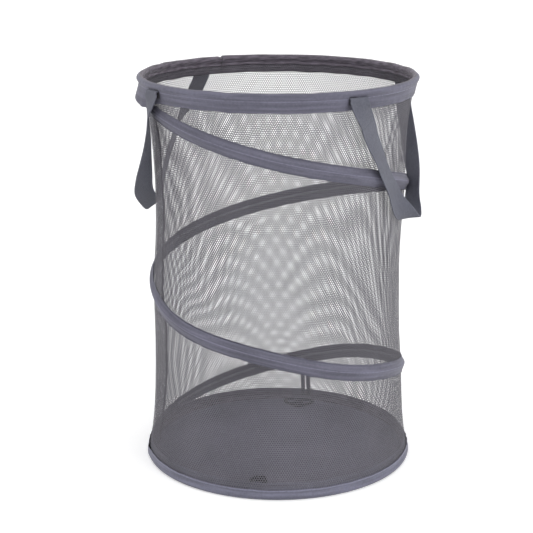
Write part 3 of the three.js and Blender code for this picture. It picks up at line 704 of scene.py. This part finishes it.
def make_spiral_tape():
    """A tape sewn down along both edges. Across it, its lift off the mesh rises almost straight from
    0.55 mm at its seams to 4 mm at its crest over the wire, like a tent. It is trimmed where it meets
    the two bindings, puckers a little between its stitches, and its edges wave."""
    count, clear, mean_radius = 938, 0.3 * mm, 0.1665
    azimuth = seam_azimuth + np.arange(count)[:, None] * 0.75
    middle = spiral_height(azimuth)
    low = np.maximum(-tape_half, (base_band_top + clear - middle) / spiral_lean)
    high = np.minimum(tape_half, (rim_band_bottom - clear - middle) / spiral_lean)
    share, face = two_faces(33, 0.012)
    q = low + (high - low) * share
    off = np.abs(q) / mm
    from_crest = q / mm - 0.9 - 0.5 * ripple(azimuth, 9, 24)
    sloping = np.sqrt(from_crest ** 2 + 1.5 ** 2) - 1.5
    whole = np.sqrt(np.where(from_crest > 0, 7.6, 9.2) ** 2 + 1.5 ** 2) - 1.5
    lift = 0.55 + 3.45 * (1 - np.clip(sloping / whole, 0, 1) ** 1.15)
    edge = np.exp(-(10 - off) / 1.6)
    pucker = 0.16 * ripple(azimuth, 61, 21) * np.exp(-((off - 6) / 2) ** 2)
    flap = 0.35 * (ripple(azimuth + 3 * np.sign(q), 47, 22) + 1) * edge
    z = middle + q * spiral_lean + 0.2 * mm * ripple(azimuth, 37, 23) * edge
    followed = np.clip(np.where(off < 3.4, middle, z), base_band_top, rim_band_bottom)
    radius = wall_radius(azimuth, followed) + (lift + pucker + flap + 0.4 * face) * mm
    length = np.arange(count) * math.radians(0.75) * mean_radius * spiral_lean
    return add_tube("spiral_cover", around(azimuth, radius, z), q, length, spiral_material, False)


spiral_material = make_tape_material("spiral_tape_cloth", tape_color, (-8.8 * mm, 8.8 * mm), (1.0 * mm,))
spiral_spring = make_spiral_wire()
spiral_cover = make_spiral_tape()
settle(spiral_spring, "base", "spiral_wire")
settle(spiral_cover, "base", "spiral_tape")

# ------------------------------------------------------------------------------
# Side seam: the mesh's one upright seam, at the left. Its allowance stands inwards, leans over to the
# front towards both ends, and has a dark overlocked edge.


def make_seam_allowance():
    """A strip 13.8 mm wide and 1.2 mm thick on a line 0.7 mm inside the wall. It leans from upright by
    62 * (1 - exp(-((z - 150) / 60)^2)) degrees at z mm, and its free edge waves."""
    width, half = 13.8 * mm, 0.6 * mm
    z = np.linspace(base_inner_top + 0.4 * mm, rim_band_bottom - 0.4 * mm, 170)[:, None]
    lean = np.radians(62 * (1 - np.exp(-((z - 0.15) / 0.06) ** 2)))
    share, face = two_faces(15, 0.02)
    q = share * width
    wave = 0.5 * np.sin(z * 310 + 2 * np.sin(z * 47)) + 0.7 * np.sin(z * 71)
    face = face * half + wave * mm * share ** 2
    inwards = 0.7 * mm + half * np.sin(lean) + q * np.cos(lean) - face * np.sin(lean)
    sideways = (q * np.sin(lean) + face * np.cos(lean))[:, :, None] * around(seam_azimuth + 90, 1, 0)
    points = around(seam_azimuth, wall_radius(seam_azimuth, z) - inwards, z) + sideways
    return add_tube("seam_allowance", points, q, z[:, 0], seam_material, False)


seam_material = make_mesh_material("seam_mesh", srgb(92, 88, 98), srgb(116, 112, 122), bound=11.6 * mm)
seam_cover = make_seam_allowance()
settle(seam_cover, "base", "side_seam_tape")

for piece in (mesh_cylinder, spiral_spring, spiral_cover, seam_cover):
    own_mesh(piece)

# ------------------------------------------------------------------------------
# Rim binding: the same tape as the base's, folded over the rim wire and sewn under it. Its ends lap
# at the back left.

rim_inner_end = rim_stitch - 3 * mm
lap_azimuth, bump_azimuth = -153.5, -121


def shape_rim(azimuth, z, outer, on_roll):
    """The outer leg stands off by 9 mm at the side seam, and its edge hangs 9 mm lower next to it. At
    the back left the tape's end lies over its start, with a notch at the end, and a bump shows the
    ferrule."""
    down = np.clip((rim_stitch - z) / (rim_stitch - rim_band_bottom), 0, 1.1) * outer
    flap = bell(azimuth, seam_azimuth + 1, 11) * down
    drop = bell(azimuth, seam_azimuth + 9, 8) * down
    past = np.mod(azimuth - lap_azimuth + 180, 360) - 180
    over = np.where(past <= 0, 0.7 * np.exp(-(past / 11) ** 2), 0)
    notch = 1.3 * bell(azimuth, lap_azimuth + 0.6, 0.6)
    lift = (over - notch + 0.8 * bell(azimuth, bump_azimuth, 3)) * mm * on_roll
    return 9 * mm * flap + lift, -9 * mm * drop * down + lift


rim_line = binding_line(rim_roll, 1, rim_stitch, rim_band_bottom, rim_inner_end)
rim_along = lambda azimuth: math.radians((azimuth - seam_azimuth) % 360) * rim_line[:, 0].mean()
# The rim tape gets painted shadows beside its two front straps.
rim_tape = make_tape_material("rim_tape", tape_color, (3.4 * mm,), (14.2 * mm,), inner_shade_color,
                              lap=rim_along(lap_azimuth), strap_shadows=(rim_along(29.5), rim_along(-55.8)))
rim_cover = make_binding("rim_cover", rim_line, rim_tape, 0.3, 31, shape_rim)
settle(rim_cover, "rim", "rim_binding")

# ------------------------------------------------------------------------------
# Carry handles: a length of 25 mm webbing each, sewn in under the rim's roll at both ends. The webbing
# folds down over the binding and turns edge on at the bottom of its loop.

split_drop, half_width = 30 * mm, 11.9 * mm
fold_low, fold_high = rim_stitch - 22 * mm, rim_stitch - 6 * mm


def eased(value, low, high):
    """A smooth step from 0 to 1 between two levels."""
    share = np.clip((value - low) / (high - low), 0, 1)
    return share * share * (3 - 2 * share)


def ribbon(points, widths, outline, slant=0.0):
    """Sections along a line of points: each is the outline, laid along the width vector and the
    vector square to it and to the line. Where slant is 1 the width vector keeps its direction, and
    where it is 0 it is first turned square to the line."""
    way = unit(np.gradient(points, axis=0))
    slant = np.broadcast_to(slant, len(points))[:, None]
    widths = unit(widths)
    widths = widths - (1 - slant) * np.sum(widths * way, axis=1)[:, None] * way
    thick = np.cross(way, widths)
    widths = (widths / np.linalg.norm(thick, axis=1)[:, None])[:, None]
    thick = unit(thick)[:, None]
    return points[:, None] + outline[None, :, :1] * widths + outline[None, :, 1:] * thick


def carried_line(points, values, share, count):
    """The points of a smooth_line and the values that are carried along it. share scales the values
    down, so that they hardly bear on the spacing."""
    both = smooth_line(np.hstack([points, values * share]), count)
    return both[:, :3], both[:, 3:] / share


def make_handle(name, stations, sense):
    """One length of webbing, on a smooth line through stations of (azimuth, radius and height in mm,
    turn in degrees from flat on the wall), between two creases at the rim. It is cut into its two ends
    and its loop 30 mm under the fold. sense is the side that it turns to. Its edges are level at the
    folds."""
    azimuth, radius, z, turn = np.array(stations, float).T
    line = around(azimuth, radius * mm, z * mm)
    points, carried = carried_line(line, np.column_stack([azimuth, turn]), 1e-6, 220)
    azimuth, turn = carried[:, 0], np.radians(carried[:, 1:]) * sense
    out = around(azimuth, 1.0, 0.0)
    way = unit(np.gradient(points, axis=0))
    out = unit(out - np.sum(out * way, axis=1)[:, None] * way)
    side = np.cross(way, out)
    level = around(azimuth + 90, 1.0, 0.0)
    level = level * np.sign(np.sum(level * side, axis=1))[:, None]
    upper = eased(points[:, 2:], fold_low, fold_high)
    widths = (side * np.cos(turn) + out * np.sin(turn)) * (1 - upper) + level * upper
    bend = np.array([(174.2, 493.2), (175.5, 493.4), (176.9, 492.9), (177.6, 491.3)]) * mm
    first, last = (around(azimuth[end], bend[:, 0], bend[:, 1]) for end in (0, -1))
    line = np.vstack([first, points, last[::-1]])
    widths = np.vstack([np.repeat(widths[:1], 4, 0), widths, np.repeat(widths[-1:], 4, 0)])
    points, widths = carried_line(line, widths, 0.001, 300)
    crown = 0.12 * mm * np.cos(np.linspace(-np.pi, np.pi, 25))
    flat = np.stack([np.linspace(-half_width, half_width, 25), crown], axis=1)
    outline, q = strip_outline(flat, 1.5 * mm, 3)
    sections = ribbon(points, widths, outline, eased(points[:, 2], fold_low, fold_high))
    length = along(points)
    low = np.nonzero(points[:, 2] < rim_stitch - split_drop)[0]
    a, b = low[0], low[-1] + 1
    parts = (("first_end", slice(0, a + 1)), ("loop", slice(a, b)), ("last_end", slice(b - 1, None)))
    return [add_tube(f"{name}_{part}", sections[rows], q - half_width, length[rows], webbing, False)
            for part, rows in parts]


def make_webbing_material():
    """Polyester webbing: lengthways columns 1.6 mm wide of fine slanting threads, a thicker selvedge at
    each edge, and cross ribs 0.8 mm apart, with painted shade in the hollows between them."""
    material, tree, shader = new_material("webbing_weave", 0.72)
    uv = split(coordinates(tree, "UV"))
    across, run = uv["X"], uv["Y"]
    fade = use_group(cloth_fade, Place=coordinates(tree, "Object"))
    column = ribs(across, 0.0016)
    slant = plus(run, times(calc("ABSOLUTE", across), 0.4))
    rib = ribs(slant, 0.0008)
    edge = step(calc("ABSOLUTE", across), 0.0105, 0.0115)
    height = plus(times(column, 0.5), times(rib, 0.5))
    height = plus(height, times(edge, 0.5))
    dark, pale = srgb(84, 85, 98), srgb(109, 111, 124)
    mixed = tinted(dark, step(fade["Shade"], 0.2, 0.8), pale)
    # Painted shade in the low places of the weave, between its columns and ribs.
    mixed = tinted(mixed, calc("SUBTRACT", 1.0, height), srgb(70, 74, 84), 0.25)
    mixed = tinted(mixed, fade["Lint"], (0.6, 0.62, 0.66, 1), 0.15)
    dress(shader, mixed, height, 0.8, 0.0005)
    shader.inputs["Sheen Weight"].default_value = 0.1
    return material


webbing = make_webbing_material()
right = [(32, 177.5, 490, 0), (33.6, 177.2, 478, -7), (36.2, 175.9, 464, -10), (39.1, 173.1, 446, -10),
         (43.7, 171, 424, -16), (48.6, 169.6, 400, -16), (54.2, 169.6, 376, -8), (59.5, 170.6, 353, 14),
         (64.5, 173.8, 338.5, 48), (70.5, 174.6, 329.8, 80), (75, 173.6, 335, 68), (79, 171.3, 351, 50),
         (84.5, 171, 378, 39), (92, 168.6, 400, 40), (101.1, 169.3, 424, 33), (107.8, 171.2, 446, 28),
         (112, 174.8, 464, 21), (115.5, 177.3, 478, 11), (118.5, 177.5, 490, 0)]
left = [(-145, 177.5, 490, 0), (-144.4, 177.2, 478, 7), (-142, 176.9, 464, 8), (-137.6, 176.9, 446, 14),
        (-132, 177.3, 424, 36), (-128, 176.9, 400, 55), (-123.8, 177.2, 376, 50),
        (-119.6, 176.8, 350, 44), (-115.4, 175.6, 330, 45), (-110.1, 174, 319.5, 52),
        (-102.3, 172.2, 330, 61), (-90.6, 171.4, 350, 67), (-79.6, 170.5, 376, 60),
        (-72.7, 171.3, 400, 47), (-67.8, 172.3, 424, 36), (-64.8, 174.1, 446, 26),
        (-62.6, 176.5, 464, 19), (-60.4, 177.3, 478, 9), (-58, 177.5, 490, 0)]
for side, stations, sense, ends in (("right", right, -1, ("front", "rear")),
                                    ("left", left, 1, ("rear", "front"))):
    first, loop, last = make_handle(f"{side}_webbing", stations, sense)
    body = f"{side}_handle"
    for piece, end in zip((first, last), ends):
        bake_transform(piece)
        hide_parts(f"{side}_handle_{end}_end")
    settle(loop, body, f"{side}_handle_loop")
    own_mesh(loop)

# ------------------------------------------------------------------------------
# Ties: a loop of black cord at the front and one at the back, each held to the base seam by a small
# folded tab. They hold the hamper shut when it is folded flat.

cord_radius = 2 * mm
cord_turns = np.radians(np.arange(0, 360, 30))


def make_cord_material():
    """Braided black polyester cord: two sets of slanting strands, 1.2 mm from one to the next, with
    painted shade between the strands.
    """
    material, tree, shader = new_material("braided_cord", 0.6)
    uv = split(coordinates(tree, "UV"))
    waves = []
    for sign in (1.0, -1.0):
        slant = calc("MULTIPLY_ADD", uv["X"], sign, uv["Y"])
        waves.append(calc("SINE", times(slant, 2 * math.pi / 0.00118)))
    strands = calc("MULTIPLY_ADD", calc("MAXIMUM", waves[0], waves[1]), 0.5, 0.5)
    # Painted shade between the strands, lighter on their crests.
    dress(shader, tinted(srgb(14, 13, 16), strands, srgb(38, 36, 42)), strands, 0.7, 0.0003)
    return material


def on_floor(azimuth, line):
    """Points given as (sideways, inwards from the seam, height over the cord's rest) at an azimuth."""
    seam_reach = floor_radius - 2.4 * mm
    side, out = around(azimuth + 90, 1, 0), around(azimuth, 1, 0)
    points = out * (seam_reach - line[:, 1:2]) + side * line[:, :1]
    points[:, 2] = floor_level + 0.5 * mm + cord_radius + line[:, 2]
    return points


def cord_sections(points):
    """Round sections of a cord along a line of points."""
    ring = np.stack([np.cos(cord_turns), np.sin(cord_turns)], axis=1) * cord_radius
    return ribbon(points, np.cross(np.gradient(points, axis=0), (0, 0, 1.0)), ring)


def make_knot(name, azimuth, place):
    """The knot that gathers a tie: a trefoil, whose line goes twice round a ring of 5.2 mm radius while
    it winds three times round it at 2.2 mm. Its ends lap, so that it closes smoothly."""
    t = np.radians(np.arange(-9, 369, 3))
    reach = 5.2 + 2.2 * np.cos(3 * t)
    line = np.stack([place[0] + reach * np.cos(2 * t), place[1] + reach * np.sin(2 * t),
                     2.3 + 2.2 * np.sin(3 * t)], axis=1)
    points = on_floor(azimuth, line * mm)
    sections, length = cord_sections(points)[3:-3], along(points)[3:-2]
    return add_tube(name, sections, cord_turns * cord_radius, length, cord_material, True)


def make_tie(name, azimuth, path):
    """A round cord that lies on the floor along a path, given in mm as (sideways, inwards from the seam,
    height over the floor). The path starts and ends at the tab."""
    points = on_floor(azimuth, smooth_line(np.array(path, float) * mm, 90))
    length = along(points)
    cord = add_tube(name, cord_sections(points), cord_turns * cord_radius, length, cord_material, False)
    return cord


def make_tab(name, azimuth):
    """A scrap of tape 12 mm wide: down the binding's inner leg, over its roll, to the floor."""
    bend = [(167.2, 19.6), (168.0, 10.8), (166.6, 8.2), (164.0, 7.2), (162.9, 5.2)]
    outline, run = strip_outline(smooth_line(np.array(bend) * mm, 30), 1.1 * mm)
    side = np.linspace(-6, 6, 13) * mm
    sections = around(azimuth, outline[None, :, 0], outline[None, :, 1])
    sections = sections + side[:, None, None] * around(azimuth + 90, 1, 0)
    sections[:, :, 2] += 0.15 * mm * np.sin(side * 900)[:, None]
    return add_tube(name, sections, run, side, tab_material, False)


cord_material = make_cord_material()
tab_material = make_tape_material("tab_cloth", srgb(84, 82, 94), (4 * mm,))
front_path = [(-2.1, 0, 0.2), (-2.1, 8, 0), (-2.6, 15, 0), (-7, 21, 0), (-12.3, 26, 0), (-14, 32.5, 0),
              (-11.2, 38.8, 0), (-4.7, 41.8, 0), (1.8, 39.4, 0), (5, 33.5, 0), (4.6, 27, 0),
              (3.2, 21, 0), (2.3, 14, 0), (2.1, 8, 0), (2.1, 0, 0.2)]
back_path = [(2.1, 0.2, 0.2), (8, 1.5, 0), (13, 5, 0), (14.3, 11, 0), (11, 16.5, 0), (4, 21, 0),
             (-2, 25.5, 0), (-8, 28.5, 0), (-13.5, 25, 0), (-19, 19, 0), (-24.5, 13.5, 0), (-26, 7.5, 0),
             (-21, 3.2, 0), (-12, 1.5, 0), (-2.1, 0.2, 0.2)]
for side, azimuth, path, place in (("front", -9, front_path, (-2.5, 31)),
                                   ("back", 171, back_path, (-6.5, 24))):
    knot = make_knot(f"{side}_tie_knot", azimuth, place)
    tie = make_tie(f"{side}_tie_cord", azimuth, path)
    settle(tie, f"{side}_tie", f"{side}_tie_loop")
    settle(knot, f"{side}_tie", f"{side}_tie_loop")
    settle(make_tab(f"{side}_tab", azimuth), "base", f"{side}_tie_tab")

# ------------------------------------------------------------------------------
# Hold loop: a loop of narrow tape on the base binding's inner leg, at the back.

hold_azimuth, hold_spread, hold_turn_level = 166, 3.9 * mm, 43.1 * mm


def make_hold_loop():
    """A tape 6 mm wide that goes up 3.9 mm to one side of its azimuth, turns over flat on the wall as a
    half ring, and comes down 3.9 mm to the other side. It lies just inside the binding and the mesh."""
    leg = np.linspace(10.5 * mm, hold_turn_level, 14)
    angle = np.concatenate([np.full(14, np.pi), np.linspace(np.pi, 0, 18)[1:-1], np.zeros(14)])
    level = np.concatenate([leg, np.full(16, hold_turn_level), leg[::-1]])
    flat = np.stack([np.linspace(-2.6, 2.6, 9), np.zeros(9)], axis=1) * mm
    outline, q = strip_outline(flat, 0.8 * mm, 3)
    reach = hold_spread + outline[:, 0]
    z = level[:, None] + reach * np.sin(angle)[:, None]
    wall = np.minimum(band_radius(np.minimum(z, base_inner_top)), wall_radius(hold_azimuth, z))
    slack = np.abs(0.5 * mm * np.sin(level * 190)[:, None]) * (level[:, None] > base_inner_top)
    sideways = (reach * np.cos(angle)[:, None])[:, :, None] * around(hold_azimuth + 90, 1, 0)
    sections = around(hold_azimuth, wall - 2.9 * mm + outline[:, 1] - slack, z) + sideways
    return add_tube("hold_loop", sections, q, along(sections[:, 0]), hold_material, False)


hold_material = make_tape_material("hold_tape", srgb(60, 56, 64), (0.5 * mm, 4.7 * mm), pitch=0.003)
hold_loop = make_hold_loop()
settle(hold_loop, "base", "back_hold_loop")

# ------------------------------------------------------------------------------
# Floor, lights and camera.


def make_stage():
    """A plain white floor that keeps the object's soft shadow."""
    mesh = bpy.data.meshes.new("floor_plane")
    mesh.from_pydata([(-30, -30, 0), (30, -30, 0), (30, 30, 0), (-30, 30, 0)], [], [(0, 1, 2, 3)])
    floor = bpy.data.objects.new("floor_plane", mesh)
    bpy.context.collection.objects.link(floor)
    material, tree, shader = new_material("white_floor", 0.9)
    shader.inputs["Base Color"].default_value = (0.9, 0.9, 0.9, 1)
    shader.inputs["Emission Color"].default_value = (1, 1, 1, 1)
    path = tree.nodes.new("ShaderNodeLightPath")
    feed(shader.inputs["Emission Strength"], times(path.outputs["Is Camera Ray"], 0.3))
    mesh.materials.append(material)


def make_world():
    """Even soft light, which the camera and mirrors see as white."""
    world = bpy.data.worlds.new("studio")
    world.use_nodes = True
    tree = world.node_tree
    background = tree.nodes["Background"]
    background.inputs["Color"].default_value = (1, 1, 1, 1)
    path = tree.nodes.new("ShaderNodeLightPath")
    seen = calc("MAXIMUM", path.outputs["Is Camera Ray"], path.outputs["Is Glossy Ray"])
    seen = calc("MAXIMUM", seen, path.outputs["Is Transmission Ray"])
    feed(background.inputs["Strength"], step(seen, 0, 1, 0.92, 1.0))
    bpy.context.scene.world = world


def add_light(name, place, watts):
    """A soft square lamp 1.6 m wide at a place, aimed at the hamper's middle."""
    light = bpy.data.lights.new(name, "AREA")
    light.size = 1.6
    light.energy = watts
    lamp = bpy.data.objects.new(name, light)
    lamp.location = place
    way = np.array((0, 0, half_height)) - np.array(place)
    tilt, turn = math.acos(-way[2] / np.linalg.norm(way)), math.atan2(way[1], way[0]) - math.pi / 2
    lamp.rotation_euler = (tilt, 0, turn)
    bpy.context.collection.objects.link(lamp)


def make_camera():
    """The photograph's view: level with the front, 15.7 degrees up, 1.887 m away."""
    elevation, distance = math.radians(15.68), 1.887
    data = bpy.data.cameras.new("camera")
    data.lens = 98.43
    data.sensor_width = 36
    data.shift_x = -0.0217
    data.shift_y = -0.0013
    camera = bpy.data.objects.new("camera", data)
    camera.location = (0, -distance * math.cos(elevation), 0.251 + distance * math.sin(elevation))
    camera.rotation_euler = (math.pi / 2 - elevation, 0, 0)
    bpy.context.collection.objects.link(camera)
    bpy.context.scene.camera = camera


make_stage()
make_world()
add_light("left_key", (-2.4, -0.9, 1.6), 6)
add_light("right_key", (1.9, -1.6, 1.9), 20)
make_camera()
bpy.context.scene.view_settings.view_transform = "Standard"
